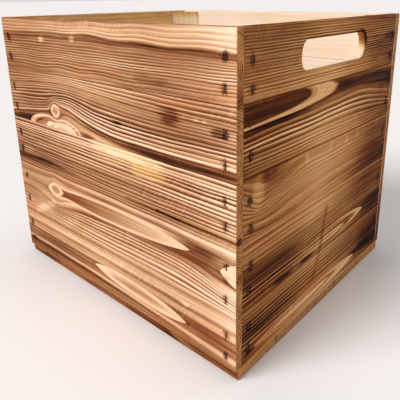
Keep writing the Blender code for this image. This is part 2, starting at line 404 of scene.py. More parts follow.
GRAINS["front_board_1"] = Grain(LONG_WALL, [
    (10.5, [0.55, (0, 0.46), (130, 0.5), 0.72], 2.4, 0.25),
    ([20, 19, 16], [0.6, (0, 0.56), (130, 0.56), 0.72], 0.7, 0.1),
    ([25, 24, 19.5], [0.72, 0.7, 0.3], 0.3, 0.1),
    ([28, (0, 27), (100, 24), 22], [0.22, (0, 0.2), (120, 0.3), 0.42], 0.5, 0.1),
    ([32, 31, 27], [0.52, (0, 0.52), (100, 0.46), 0.66], 2, 0.12),
    ([43, 43, 42], [0.58, 0.62, 0.7], 0.8, 0.12),
    ([47.5, (0, 49), (120, 48), 46], [0.24, 0.25, 0.3], 0.4, 0.1),
    ([50, 52, 49.5], [0.24, 0.3, 0.3], 0.3, 0.1),
    ([53, 55.5, 53], [0.6, (0, 0.6), (120, 0.75), 0.62], 0.5, 0.1),
    ([57, 58, 56], [0.24, (0, 0.16), (120, 0.24), 0.22], 2, 0.1),
    (66, [0.28, 0.25, 0.26], 0.6, 0.1),
    (68.8, [0.4, 0.45, 0.5], 1, 0.1),
], flames=[Flame((-30, 41), (126, 34.5), 9.5, 0.55, (0.38, 0.38))], patches=[
    (-130, 36, 30, 6, 0.08), (155, 35, 35, 8, 0.08), (125, 56, 6, 2.5, -0.2),
    (60, 12, 140, 5, 0.04), (-120, 60, 70, 7, -0.08), (-150, 38, 40, 9, -0.08),
], wobble=0.3)
GRAINS["right_handle_board"] = Grain(END_WALL, [
    (269, [0.5, 0.45, 0.6], 0.6, 0.1),
    (271.5, [0.32, 0.3, 0.55], 4, 0.2),
    (284, [0.42, 0.4, 0.58], 5, 0.28),
    (298, [0.46, (0, 0.42), (60, 0.5), 0.62], 6, 0.3),
    (314, [0.47, 0.5, 0.58], 6, 0.32),
    (330, [0.5, 0.52, 0.55], 2, 0.2),
], patches=[(120, 290, 45, 18, 0.08), (140, 305, 20, 5, 0.15)], wobble=0.3)
GRAINS["right_board_4"] = Grain(END_WALL, [
    (202.5, [0.75, 0.65, 0.7], 0.6, 0.2),
    (207, [0.58, (-60, 0.38), (0, 0.3), (60, 0.38), 0.64], 3.5, 0.2),
    ([219, (60, 218), 214], [0.56, (0, 0.34), (60, 0.42), 0.68], 2.4, 0.3),
    ([230, (0, 233), (60, 234), 223], [0.54, 0.4, 0.6], 2.6, 0.5),
    ([241, (0, 247), (60, 250), 238], [0.7, 0.5, 0.5], 0.5, 0.25),
    ([244, (-60, 247), (0, 252), (60, 254), 246], [0.75, 0.7, 0.8], 2, 0.15),
    ([262, 262], [0.9, (0, 0.84), (60, 0.86), 0.76], 0.6, 0.1),
    ([268, 268], [0.55, (0, 0.7), (100, 0.5), 0.35], 1, 0.1),
], flames=[
    Flame((-420, 263), (5, 262), 16.6, 1.3, (0.25, 0.25), (0.16, 0.16), 2.2),
    Flame((-420, 263.5), (-36, 262.5), 15.8, 0.1, (0.84, 0.8), (0.3, 0.3), 2.2),
], patches=[(40, 257, 40, 6, 0.06), (150, 250, 16, 7, 0.12), (-100, 245, 66, 3, 0.16)], wobble=0.4)
GRAINS["right_board_3"] = Grain(END_WALL, [
    (138, 0.3, 0.5, 0.1),
    (142, [0.38, (0, 0.42), (80, 0.65), 0.65], 2, 0.08),
    ([150, (-100, 144), (-20, 150), (60, 152), 152],
     [0.42, (0, 0.38), (60, 0.52), (100, 0.66), 0.66], 2, 0.1),
    ([165, (-120, 162), (-70, 170), (0, 173), 172],
     [0.38, (0, 0.36), (60, 0.44), (100, 0.6), 0.62], 4, [0.22, 0.1, 0.08]),
    ([184, (-132, 172), (-100, 180), (-60, 190), (0, 192), 192], [0.38, 0.34, 0.55], 3, [0.28, 0.14, 0.1]),
    ([198, (-140, 193), (-120, 189), (-60, 198), (0, 200), 200],
     [0.45, (-100, 0.5), (0, 0.4), 0.5], 0.5, 0.2),
    ([203, (-140, 202), (-120, 193), (-60, 200), (0, 202.5), 202.5],
     [0.4, (-120, 0.58), (-90, 0.4), (0, 0.35), 0.4], 1, 0.1),
    (209, 0.6, 1, 0.1),
], patches=[
    (-133, 186, 10, 17, -0.2), (-122, 198, 9, 4, 0.14), (-108, 199, 6, 2.5, 0.12),
    (-50, 195, 4, 5, -0.15), (0, 195, 3, 6, -0.12), (38, 195, 4, 6, -0.12), (66, 195, 4, 6, -0.1),
    (110, 155, 45, 18, 0.06), (125, 190, 40, 10, 0.08),
], wobble=0.4)
GRAINS["right_board_2"] = Grain(END_WALL, [
    (72.5, [0.74, (-60, 0.62), (0, 0.52), (40, 0.5), (80, 0.7), 0.78], 1, 0.2),
    (80, [0.62, (-20, 0.52), (20, 0.46), 0.72], 2.5, 0.4),
    (91, [0.66, (-20, 0.64), 0.8], 3, [0.5, 0.4, 0.2]),
    ([102, 104], [0.72, (-40, 0.66), (0, 0.6), 0.62], 3, 0.35),
    ([113, 112], [0.62, (-40, 0.52), (0, 0.54), (60, 0.56), 0.6], 2, 0.25),
    ([124, 122], [0.42, (0, 0.42), (60, 0.55), 0.6], 2, 0.15),
    (134, [0.3, (0, 0.32), (60, 0.5), (100, 0.6), 0.58], 1, 0.1),
    (138.3, [0.5, 0.45, 0.65], 1, 0.1),
], flames=[
    Flame((-70, 84), (100, 87), 10, 0.4, (0.5, 0.68), (0.55, 0.12)),
    Flame((-75, 82), (66, 84), 7.5, 0.36, (0.5, 0.1), (0.5, 0.6)),
], patches=[
    (-90, 76, 19, 3.2, 0.38), (-42, 76, 16, 3, 0.34), (125, 88, 34, 11, 0.12),
    (95, 118, 40, 18, 0.06), (-110, 96, 60, 12, 0.08),
], strokes=[((-1, 124), (-12, 73), 4.4, 0.2)], wobble=0.35)
GRAINS["right_board_1"] = Grain(END_WALL, [
    (10.5, [0.6, (-80, 0.34), (0, 0.34), 0.6], 1, 0.2),
    (17, [0.6, (-90, 0.28), (0, 0.26), (60, 0.36), 0.66], 1, 0.2),
    (30, [0.5, (-60, 0.36), (0, 0.4), 0.95], 2, 0.25),
    ([40, 36, 36], [0.74, (0, 0.54), (50, 0.46), (80, 0.55), 0.7], 2, 0.3),
    (48, [0.74, (0, 0.64), (70, 0.7), 0.8], 2, 0.3),
    (57, [0.62, (-40, 0.58), (0, 0.56), (80, 0.6), 0.74], 2, 0.3),
    (66, [0.42, 0.42, 0.6], 1, 0.2),
    (73, [0.55, 0.5, 0.7], 1, 0.1),
], flames=[
    Flame((-138, 23), (84, 25), 9, 0.6, (0.36, 0.2), (0.4, 0.02)),
    Flame((-120, 23), (32, 26), 6, 0.34, (0.28, 0.02), (0.4, 0.48)),
], patches=[
    (-145, 22, 10, 3, 0.3), (118, 28, 40, 9, 0.3), (120, 44, 40, 8, 0.12), (-120, 44, 40, 12, 0.08),
], strokes=[((-13, 71), (-24, 44), 4.4, 0.17)], wobble=0.35)


# Tone added along each wall's length, over the boards' own tones.
SHADES = {
    "front": [(-190, 0.09), (-126, 0.08), (-60, 0.01), (0, -0.02), (120, 0.0), (165, -0.08), (190, -0.2)],
    "right": [(-155, 0.1), (-80, 0.06), (-30, -0.06), (20, -0.04), (60, 0.02), (100, 0.08), (155, 0.1)],
}


def plain_grain(name, low, high, half):
    """Seeded grain for a board that faces away: even rings, a flame or two and maybe a knot."""
    random = np.random.default_rng(zlib.crc32(name.encode()))
    count = 6
    levels = []
    for k in range(count + 1):
        height = low + (high - low) * k / count
        sway = random.normal(size=3) * 1.6
        tones = 0.5 + 0.12 * random.normal(size=3)
        places = (-half, 0.0, half)
        heights = [(s, height + rise) for s, rise in zip(places, sway)]
        rings = random.uniform(1.5, 3.5)
        levels.append((heights, list(zip(places, tones)), rings, random.uniform(0.15, 0.5)))
    flames = []
    for _ in range(random.integers(1, 3)):
        start = random.uniform(-half * 1.2, half * 0.3)
        end = start + random.uniform(0.5, 1.1) * half
        mid = random.uniform(low + 14, high - 14)
        lean = random.normal() * 2.0
        half_height, border = random.uniform(5, 10), random.uniform(0.35, 0.9)
        core = (random.uniform(0.3, 0.7), random.uniform(0.3, 0.6))
        rim = (random.uniform(0.15, 0.4), random.uniform(0.1, 0.25))
        flames.append(Flame((start, mid), (end, mid + lean), half_height, border, core, rim))
    knots = []
    if random.random() < 0.5:
        place = random.uniform(-0.8, 0.8) * half
        knots.append((place, random.uniform(low + 15, high - 15), random.uniform(5, 9), 1.4, 2.0))
    ranges = ((-half, half), (low, high), (15, 50), (4, 9), (-0.15, 0.25))
    patches = [[random.uniform(*ends) for ends in ranges] for _ in range(6)]
    return Grain(half, levels, flames, knots, patches, slant=random.uniform(-0.7, 0.7), wobble=0.8)


# ---- mesh work


def spread(low, high, step, fine=()):
    """Cut places from low to high: even steps, close ones by the rounded edges and in the fine spans."""
    inner_low, inner_high = low + EDGE_RADIUS, high - EDGE_RADIUS
    spans = sorted((max(inner_low, a), min(inner_high, b), close) for a, b, close in fine)
    places = {inner_low, inner_high}
    at = inner_low
    for a, b, close in spans:
        if b <= at:
            continue
        a = max(a, at)
        places.update(np.linspace(at, a, max(2, round((a - at) / step) + 1)))
        places.update(np.linspace(a, b, max(2, round((b - a) / close) + 1)))
        at = b
    places.update(np.linspace(at, inner_high, max(2, round((inner_high - at) / step) + 1)))
    for share in EDGE_STEPS:
        places.update((inner_low - share * EDGE_RADIUS, inner_high + share * EDGE_RADIUS))
    kept = []
    for place in sorted(places):
        if not kept or place - kept[-1] > 0.00012:
            kept.append(place)
    return np.array(kept)


def lattice_box(name, cuts):
    """A closed box whose six sides carry a lattice with those cuts along x, y and z."""
    counts = [len(c) for c in cuts]
    grid = np.indices(counts).reshape(3, -1).T
    last = np.array(counts) - 1
    on_surface = ((grid == 0) | (grid == last)).any(1)
    index = np.full(len(grid), -1)
    index[on_surface] = np.arange(on_surface.sum())
    index = index.reshape(counts)
    points = np.stack([cuts[axis][grid[on_surface][:, axis]] for axis in range(3)], 1)
    faces = []
    for axis in range(3):
        for end, flip in ((0, True), (last[axis], False)):
            sheet = np.take(index, end, axis=axis)
            if axis == 1:
                flip = not flip
            a, b, c, e = sheet[:-1, :-1], sheet[1:, :-1], sheet[1:, 1:], sheet[:-1, 1:]
            quads = np.stack([a, e, c, b] if flip else [a, b, c, e], -1).reshape(-1, 4)
            faces.append(quads)
    mesh = bpy.data.meshes.new(name)
    mesh.from_pydata(points.tolist(), [], np.concatenate(faces).tolist())
    mesh.update()
    return mesh


def round_box(points, low, high, wear):
    """Box points with the edges and corners pulled onto a round of EDGE_RADIUS, worn a little unevenly."""
    inner = np.clip(points, low + EDGE_RADIUS, high - EDGE_RADIUS)
    out = points - inner
    reach = np.linalg.norm(out, axis=1)
    on_edge = (np.abs(out) > 1e-7).sum(1) > 1
    direction = out / np.maximum(reach, 1e-9)[:, None]
    radius = EDGE_RADIUS - wear * np.minimum(1.0, 2.0 * (1.0 - np.abs(direction).max(1)))
    rounded = inner + direction * radius[:, None]
    return np.where(on_edge[:, None], rounded, points)


def loft(name, rings):
    """A closed mesh through rings of points, with both end rings capped."""
    body = bmesh.new()
    rings = [[body.verts.new(point) for point in ring] for ring in rings]
    for lower, upper in zip(rings, rings[1:]):
        for k, corner in enumerate(lower):
            after = (k + 1) % len(lower)
            body.faces.new((corner, lower[after], upper[after], upper[k]))
    body.faces.new(rings[0][::-1])
    body.faces.new(rings[-1])
    bmesh.ops.recalc_face_normals(body, faces=body.faces)
    mesh = bpy.data.meshes.new(name)
    body.to_mesh(mesh)
    body.free()
    return mesh


def mesh_points(mesh):
    co = np.empty(len(mesh.vertices) * 3, np.float32)
    mesh.vertices.foreach_get("co", co)
    return co.reshape(-1, 3).astype(float)


def set_points(mesh, points):
    mesh.vertices.foreach_set("co", points.astype(np.float32).ravel())
    mesh.update()


def set_field(mesh, name, values):
    kind = "FLOAT_VECTOR" if values.ndim == 2 else "FLOAT"
    attribute = mesh.attributes.new(name, kind, "POINT")
    attribute.data.foreach_set("vector" if values.ndim == 2 else "value", values.astype(np.float32).ravel())


def finish_piece(mesh, name, material, replaced=()):
    """Makes the object of a piece, smooth but for real corners, and ties it to the frame."""
    mesh.shade_smooth()
    mesh.set_sharp_from_angle(angle=math.radians(38))
    mesh.materials.clear()
    mesh.materials.append(material)
    piece = bpy.data.objects.new(name, mesh)
    bpy.context.scene.collection.objects.link(piece)
    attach(piece, BODY)
    if replaced:
        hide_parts(*replaced)
    return piece


# ---- where each wall's boards lie


class Wall:
    """Which way a wall faces: its axes along, across and outwards, with the side that shows."""

    def __init__(self, name, along, across, out, outward):
        self.name = name
        self.along = along
        self.across = across
        self.out = out
        self.outward = outward

    def face(self, low, high):
        """Where the outer face of a board between two corners lies."""
        return high[self.out] if self.outward > 0 else low[self.out]

    def read(self, points, low, high):
        """(along, across, deep) of points, in metres; deep is measured from the outer face."""
        deep = np.abs(points[:, self.out] - self.face(low, high))
        return points[:, self.along], points[:, self.across], deep

    def point(self, along, across, out):
        place = [0.0] * 3
        place[self.along], place[self.across], place[self.out] = along, across, out
        return place


WALLS = {
    "front": Wall("front", 0, 2, 1, -1),
    "back": Wall("back", 0, 2, 1, 1),
    "right": Wall("right", 1, 2, 0, 1),
    "left": Wall("left", 1, 2, 0, -1),
    "floor": Wall("floor", 0, 1, 2, -1),
}
SEEN = ("front", "right")
# Dark spots on the front boards' cut ends: (height, depth, radius, tone added).
END_SPOTS = ((0.148, 0.0045, 0.0036, 0.5), (0.11, 0.0045, 0.0055, 0.16), (0.275, 0.003, 0.01, 0.1))
# From a board's end to its staples, and how far up the board they sit, as a share of its height.
STAPLE_INSETS = {"front": 0.0125, "back": 0.0125, "right": 0.0107, "left": 0.0107, "floor": 0.0045}
STAPLE_SHARES = {
    "front": (0.22, 0.64),
    "back": (0.22, 0.64),
    "right": (0.27, 0.68),
    "right_handle_board": (0.17, 0.57),
    "right_board_4": (0.29, 0.75),
    "left": (0.27, 0.68),
    "floor": (0.5,),
}
STAPLE_STRAY = 0.0011
STAPLE_LEAN = 0.13  # the most that a crown leans, as a share of its length
# The scorch mark round each staple, with its dent's shade painted in: half sizes along and across the grain,
# and tone added.
SCORCH_AND_DENT_SHADE_HALF = (0.0036, 0.0054)
SCORCH_AND_DENT_SHADE_TONE = 0.3


def staple_spots(name, wall, low, high):
    """Where a board's staples lie: (along, across) of each crown's middle.

    The bottom's staples and the lower ones of the long walls are the frame's own, and the others stray
    a little, as a hand-held stapler leaves them.
    """
    random = np.random.default_rng(zlib.crc32(name.encode()))
    inset = STAPLE_INSETS[wall.name]
    spots = []
    for end in (low[wall.along] + inset, high[wall.along] - inset):
        for share in STAPLE_SHARES.get(name, STAPLE_SHARES[wall.name]):
            in_frame = wall.name == "floor" or (wall.name in ("front", "back") and share < 0.5)
            stray_s, stray_t = (0.0, 0.0) if in_frame else random.uniform(-STAPLE_STRAY, STAPLE_STRAY, 2)
            height = low[wall.across] + share * (high[wall.across] - low[wall.across])
            spots.append((end + stray_s, height + stray_t))
    return spots


def build_board(name, wall, material):
    """One board: a rounded, slightly bowed slab with dents for its staples, and its grain as fields."""
    low, high = (np.array(corner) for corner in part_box(name))
    seed = zlib.crc32(name.encode()) % 10000
    half = (high - low)[wall.along] / 2 / MM
    grain = GRAINS.get(name) or plain_grain(name, low[wall.across] / MM, high[wall.across] / MM, half)
    spots = staple_spots(name, wall, low, high)
    step_s, step_t = (STEP_ALONG, STEP_ACROSS) if wall.name in SEEN else STEP_PLAIN
    fine_s = [(s - FINE_HALF[0], s + FINE_HALF[0], DENT_STEPS[0]) for s, _ in spots[:: len(spots) // 2]]
    fine_t = [(t - FINE_HALF[1], t + FINE_HALF[1], DENT_STEPS[1]) for _, t in spots[: len(spots) // 2]]
    for ks, _, radius, stretch, _ in grain.knots:
        reach = radius * stretch * 1.15
        fine_s.append(((ks - reach) * MM, (ks + reach) * MM, STEP_KNOT))
    cuts = [None] * 3
    cuts[wall.along] = spread(low[wall.along], high[wall.along], step_s, fine_s)
    cuts[wall.across] = spread(low[wall.across], high[wall.across], step_t, fine_t)
    cuts[wall.out] = spread(low[wall.out], high[wall.out], STEP_DEEP)
    mesh = lattice_box(name, cuts)
    points = mesh_points(mesh)
    s, t, d = wall.read(points, low, high)
    wear = EDGE_WEAR * (0.5 + 0.5 * ripple(seed + 4, s / MM, t / MM, 35.0, 60.0))
    points = round_box(points, low, high, np.clip(wear, 0.0, 0.0006))
    outer = smooth(0.004, 0.0005, d)
    sink = FACE_BOW * (0.5 + 0.5 * ripple(seed + 5, s / MM, t / MM, 260.0, 90.0)).clip(0.0, 1.4) * outer
    dent_s, dent_t = DENT_HALF
    for spot_s, spot_t in spots:
        far = np.maximum(np.abs(s - spot_s) / dent_s, np.abs(t - spot_t) / dent_t)
        sink = sink + (DENT_DEPTH - sink) * smooth(1.0, 0.72, far) * (d < 0.0002)
    points[:, wall.out] -= wall.outward * sink
    set_points(mesh, points)
    if "handle" in name:
        mesh = cut_slot(mesh, wall, low, high)
    paint_board(mesh, name, wall, low, high, grain, seed, spots)
    return finish_piece(mesh, name + "_wood", material, [name])


# The tones of what the flame leaves alike on every board; the first is added to the board's own.
JOINT_TONE = 0.16
RIM_TONE = 0.6
CUT_END_TONE = 0.47
INSIDE_TONE = 0.03
LEFT_INSIDE_TONE = 0.3


def near_edge(away):
    """1 on a board's rounded edge and 0 past it, for points that far from the end or the side."""
    return smooth(EDGE_RADIUS * 0.7, 0.0, away)


def paint_board(mesh, name, wall, low, high, grain, seed, spots):
    """Writes the grain of a board into its mesh, face by face: scorched outside, pale inside."""

    def wave(number, a, b, length_a, length_b):
        return ripple(seed + number, a / MM, b / MM, length_a, length_b)

    s, t, d = wall.read(mesh_points(mesh), low, high)
    thick = (high - low)[wall.out]
    fields = read_grain(grain, seed, s / MM, t / MM, d / MM)
    to_low, to_high = t - low[wall.across], high[wall.across] - t
    cut_end = near_edge(np.minimum(s - low[wall.along], high[wall.along] - s))
    long_edge = near_edge(np.minimum(to_low, to_high))
    inner = smooth(thick - EDGE_RADIUS * 1.6, thick - EDGE_RADIUS * 0.6, d)
    tone, contrast, raw = fields["tone"], fields["contrast"], fields["raw"]
    if wall.name in SHADES:
        tone = tone + track(SHADES[wall.name], s / MM)
    top = name.endswith(("_5", "handle_board"))
    rim = near_edge(to_high) if top else np.zeros_like(s)
    if wall.name != "floor":
        tone = tone + JOINT_TONE * long_edge * (1.0 - rim)
    tone = toward(tone, RIM_TONE + 0.1 * wave(6, s, t, 60.0, 30.0), rim)
    charred = 0.3 * smooth(0.15, 0.04, t) if wall.name == "back" else 0.0
    tone = toward(tone, CUT_END_TONE + charred + 0.07 * wave(7, t, d, 40.0, 9.0), cut_end)
    if wall.name == "front":
        for height, deep, radius, amount in END_SPOTS:
            far = np.hypot(t - height, (d - deep) * 0.8) / radius
            tone = tone + amount * cut_end * smooth(1.3, 0.6, far)
    contrast = toward(contrast, 0.2, cut_end)
    pith = low[wall.across] + (0.35 + 0.3 * (seed % 7) / 6) * (high - low)[wall.across]
    arcs = np.hypot(t - pith, d + 0.012) / 0.0024
    fields["phase"] = np.where(cut_end > 0.5, arcs, fields["phase"])
    # Each staple gets a dark blotch: scorch, with painted shade of its dent.
    for spot_s, spot_t in spots:
        far = np.hypot((s - spot_s) / SCORCH_AND_DENT_SHADE_HALF[0], (t - spot_t) / SCORCH_AND_DENT_SHADE_HALF[1])
        far = far + 0.3 * wave(10, s, t, 4.0, 4.0)
        tone = tone + SCORCH_AND_DENT_SHADE_TONE * smooth(1.25, 0.6, far) * (d < 0.002)
    inner = inner * (1.0 - cut_end)
    lick = smooth(0.03, 0.0, to_high) if top else 0.0
    pale = LEFT_INSIDE_TONE if wall.name == "left" else INSIDE_TONE
    tone = toward(tone, pale + 0.03 * wave(8, s, t, 90.0, 25.0) + 0.1 * lick, inner)
    contrast = toward(contrast, 0.08, inner)
    raw = toward(raw, 0.9, inner)
    no_flame = np.maximum(inner, cut_end) > 0.5
    pale_cut = 0.0
    if "handle" in name:
        tone, contrast, raw, pale_cut = paint_slot(s, t, d, thick, tone, contrast, raw)
    if wall.name == "floor":
        # The bottom boards' long sides are painted darker: char, with painted shade where they sit back
        # under the walls.
        tone = 0.33 + 0.5 * (tone - 0.42) + 0.4 * long_edge * (1.0 - cut_end) + 0.04 * cut_end
        contrast = contrast * 0.7
        no_flame = no_flame | (long_edge > 0.5)
        raw = 0.5 * smooth(0.5 * thick, 0.9 * thick, d) * (1.0 - cut_end) * (1.0 - long_edge)
    # Painted shade colour, with toast: boards on the right, left and bottom and the cut ends of the front
    # and back boards take a strong yellow tint, the front and back faces a faint one.
    warm = 0.1 + 0.85 * cut_end if wall.name in ("front", "back") else 0.95
    fields["flare"] = np.where(no_flame, NO_FLAME, fields["flare"])
    fields.update(tone=tone, contrast=contrast, raw=raw, warm=warm * (1.0 - inner) * (1.0 - 0.9 * pale_cut))
    for key, values in fields.items():
        set_field(mesh, key, values)
    shift = (seed % 97) * 0.013
    set_field(mesh, "grain", np.stack([s + shift, t + 3 * shift, d + 0.7 * shift], 1))


# ---- the hand slots

SLOT_HALF_LENGTH = 0.068
SLOT_HALF_HEIGHT = 0.0145
SLOT_CORNER = 0.012
SLOT_MID = 0.299
SLOT_FLARE = 0.0011


def paint_slot(s, t, d, thick, tone, contrast, raw):
    """Char along the slot's upper rim and its far corner, and paler wood inside the cut."""
    out_s = np.maximum(np.abs(s) - (SLOT_HALF_LENGTH - SLOT_CORNER), 0.0)
    out_t = np.maximum(np.abs(t - SLOT_MID) - (SLOT_HALF_HEIGHT - SLOT_CORNER), 0.0)
    away = np.hypot(out_s, out_t) - SLOT_CORNER
    upper = smooth(-0.006, 0.008, t - SLOT_MID)
    corner = smooth(0.035, 0.06, s) * upper
    char = smooth(0.0016 + 0.0035 * corner, 0.0, away) * (0.15 + 0.85 * upper)
    tone = tone + (0.45 + 0.35 * corner) * char * smooth(thick * 0.5, thick * 0.1, d)
    cut = smooth(0.0006, -0.0001, away) * smooth(0.0004, 0.0012, d)
    inside = 0.06 + 0.1 * upper + 0.36 * corner + 0.1 * corner * ripple(7, s / MM, t / MM, 12.0, 4.0)
    raw = toward(raw, 0.8 - 0.7 * corner, cut)
    return toward(tone, inside, cut), contrast * (1.0 - 0.7 * cut), raw, cut * (1.0 - corner)


def slot_ring(grow):
    """Points round the slot's outline, grown outwards, as (along, up)."""
    ring = []
    for turn, (sign_s, sign_t) in enumerate(((1, 1), (-1, 1), (-1, -1), (1, -1))):
        middle_s = sign_s * (SLOT_HALF_LENGTH - SLOT_CORNER)
        middle_t = SLOT_MID + sign_t * (SLOT_HALF_HEIGHT - SLOT_CORNER)
        for k in range(9):
            angle = math.radians(90.0 * turn + 90.0 * k / 8)
            reach = SLOT_CORNER + grow
            ring.append((middle_s + reach * math.cos(angle), middle_t + reach * math.sin(angle)))
    return ring


def cut_slot(mesh, wall, low, high):
    """Cuts the hand slot with rounded rims through a board."""
    middle = (low[wall.out] + high[wall.out]) / 2
    half = (high[wall.out] - low[wall.out]) / 2
    sections = [(-half - 0.002, SLOT_FLARE * 1.6)]
    for k in range(6):
        angle = math.pi / 2 * k / 5
        grow = SLOT_FLARE * (1.0 - math.cos(math.pi / 2 - angle))
        sections.append((-half + SLOT_FLARE * math.sin(angle), grow))
    sections += [(-offset, grow) for offset, grow in reversed(sections)]
    rings = [[wall.point(*place, middle + offset) for place in slot_ring(grow)] for offset, grow in sections]
    tool_mesh = loft("slot_tool", rings)
    tool = bpy.data.objects.new("slot_tool", tool_mesh)
    board = bpy.data.objects.new("slot_board", mesh)
    for thing in (tool, board):
        bpy.context.scene.collection.objects.link(thing)
    modifier = board.modifiers.new("slot", "BOOLEAN")
    modifier.operation = "DIFFERENCE"
    modifier.solver = "EXACT"
    modifier.object = tool
    evaluated = board.evaluated_get(bpy.context.evaluated_depsgraph_get())
    result = bpy.data.meshes.new_from_object(evaluated)
    bpy.data.objects.remove(board)
    bpy.data.objects.remove(tool)
    return result


# ---- posts


def build_post(name, material):
    """A triangular corner post with slightly blunted corners and its grain upright."""
    low, high = (np.array(corner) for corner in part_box(name))
    centre = (low + high) / 2
    toward_x = 1.0 if centre[0] > 0 else -1.0
    toward_y = 1.0 if centre[1] > 0 else -1.0
    corner = np.array([high[0] if toward_x > 0 else low[0], high[1] if toward_y > 0 else low[1]])
    leg = high[0] - low[0]
    blunt = 0.0012
    outline = [(blunt * 0.6, 0.0), (leg - blunt, 0.0), (leg, blunt * 0.35), (leg - blunt * 0.2, blunt)]
    outline += [(blunt, leg - blunt * 0.2), (blunt * 0.35, leg), (0.0, leg - blunt), (0.0, blunt * 0.6)]
    fine = []
    for (x0, y0), (x1, y1) in zip(outline, outline[1:] + outline[:1]):
        pieces = max(1, round(math.hypot(x1 - x0, y1 - y0) / 0.003))
        fine += [(x0 + (x1 - x0) * k / pieces, y0 + (y1 - y0) * k / pieces) for k in range(pieces)]
    round_end = 0.0007
    heights = [low[2], *np.linspace(low[2] + round_end, high[2] - round_end, 60), high[2]]
    rings = []
    for z in heights:
        shrink = 1.0 if low[2] < z < high[2] else 0.965
        middle = leg * 0.3
        spread_out = [(middle + (x - middle) * shrink, middle + (y - middle) * shrink) for x, y in fine]
        rings.append([(corner[0] - toward_x * x, corner[1] - toward_y * y, z) for x, y in spread_out])
    mesh = loft(name, rings)
    points = mesh_points(mesh)
    seed = zlib.crc32(name.encode()) % 10000
    across = (points[:, 0] + 0.4 * points[:, 1]) / MM
    up = points[:, 2] / MM
    burnt_top = 0.4 * smooth(12.0, 0.0, high[2] / MM - up)
    phase = across / 3.1 + 0.35 * ripple(seed, up, across, 140.0, 30.0)
    tone = 0.1 + 0.05 * ripple(seed + 1, up, across, 80.0, 12.0) + burnt_top
    fields = dict(phase=phase, tone=tone, contrast=0.12, flare=NO_FLAME, core=0.0, rim=0.0)
    fields.update(knot=NO_KNOT, raw=0.85, warm=0.1)
    for key, values in fields.items():
        set_field(mesh, key, values + np.zeros_like(up))
    shift = (seed % 97) * 0.013
    set_field(mesh, "grain", np.stack([points[:, 2] + shift, points[:, 0] + shift, points[:, 1]], 1))
    return finish_piece(mesh, name + "_wood", material, [name])


# ---- staples


def build_staple(name, wall, low, high, spot, material):
    """A staple's crown with its two short bends, flush with the face, as one bent wire."""
    half = CROWN_LENGTH / 2
    lean = STAPLE_LEAN * math.sin(zlib.crc32(name.encode()))
    path = [(-half + WIRE_WIDTH / 2, STUB_DEPTH)]
    for k in range(5):
        angle = math.radians(90.0 * k / 4)
        across = -half + WIRE_WIDTH / 2 + WIRE_BEND * (1 - math.cos(angle))
        path.append((across, WIRE_DEPTH / 2 + WIRE_BEND * (1 - math.sin(angle))))
    path += [(-across, deep) for across, deep in reversed(path)]
    face = wall.face(low, high)
    rings = []
    for k, (across, deep) in enumerate(path):
        before, after = path[max(k - 1, 0)], path[min(k + 1, len(path) - 1)]
        run = Vector((after[0] - before[0], after[1] - before[1])).normalized()
        normal = Vector((-run.y, run.x))
        ring = []
        for step in range(WIRE_SIDES):
            angle = 2 * math.pi * (step + 0.5) / WIRE_SIDES
            side = math.copysign(abs(math.cos(angle)) ** 0.6, math.cos(angle)) * WIRE_WIDTH / 2
            lift = math.copysign(abs(math.sin(angle)) ** 0.6, math.sin(angle)) * WIRE_DEPTH / 2
            out = face - wall.outward * (deep + normal.y * lift)
            ring.append(wall.point(spot[0] + side + lean * across, spot[1] + across + normal.x * lift, out))
        rings.append(ring)
    return finish_piece(loft(name, rings), name, material)


# ---- materials


class Nodes:
    """Short calls that add shader nodes to one material."""

    def __init__(self, name):
        self.material = bpy.data.materials.new(name)
        self.material.use_nodes = True
        self.tree = self.material.node_tree
        self.shader = self.tree.nodes["Principled BSDF"]

    def add(self, kind, settings=None, values=(), **inputs):
        """A node with its settings, and its sockets filled in order or by name; None leaves one as it is."""
        node = self.tree.nodes.new("ShaderNode" + kind)
        for key, value in (settings or {}).items():
            setattr(node, key, value)
        sockets = list(zip(node.inputs, values))
        sockets += [(node.inputs[key.replace("_", " ")], value) for key, value in inputs.items()]
        for socket, value in sockets:
            if value is not None:
                self.plug(socket, value)
        return node

    def plug(self, socket, value):
        if isinstance(value, bpy.types.NodeSocket):
            self.tree.links.new(value, socket)
        else:
            socket.default_value = value

    def math(self, operation, *values, clamp=False):
        return self.add("Math", {"operation": operation, "use_clamp": clamp}, values).outputs[0]

    def field(self, name, vector=False):
        return self.add("Attribute", {"attribute_name": name}).outputs["Vector" if vector else "Fac"]

    def scaled(self, vector, scale):
        return self.add("VectorMath", {"operation": "MULTIPLY"}, (vector, scale)).outputs[0]

    def noise(self, vector, scale, detail=2.0, roughness=0.5):
        """Noise round 0, about -0.5 to 0.5."""
        place = self.scaled(vector, scale)
        node = self.add("TexNoise", Vector=place, Scale=1.0, Detail=detail, Roughness=roughness)
        return self.math("SUBTRACT", node.outputs["Fac"], 0.5)

    def step(self, value, low, high, to_low=0.0, to_high=1.0):
        """A soft step of value from low to high."""
        ends = (value, low, high, to_low, to_high)
        return self.add("MapRange", {"interpolation_type": "SMOOTHSTEP"}, ends).outputs[0]

    def blend(self, factor, a, b):
        """a where factor is 0 and b where it is 1, for numbers."""
        return self.add("Mix", {"data_type": "FLOAT"}, (factor, None, a, b)).outputs[0]

    def blend_color(self, factor, a, b, mode="MIX"):
        values = (factor, *[None] * 5, a, b)
        return self.add("Mix", {"data_type": "RGBA", "blend_type": mode}, values).outputs[2]

    def ramp(self, value, stops):
        node = self.add("ValToRGB", Fac=value)
        ramp = node.color_ramp
        while len(ramp.elements) < len(stops):
            ramp.elements.new(0.5)
        for element, (place, color) in zip(ramp.elements, stops):
            element.position = place
            element.color = (*color, 1.0) if isinstance(color, tuple) else (color, color, color, 1.0)
        return node.outputs["Color"]


def srgb(text):
    """A hex colour as linear numbers."""
    parts = [int(text[k : k + 2], 16) / 255 for k in (0, 2, 4)]
    return tuple(p / 12.92 if p <= 0.04045 else ((p + 0.055) / 1.055) ** 2.4 for p in parts)


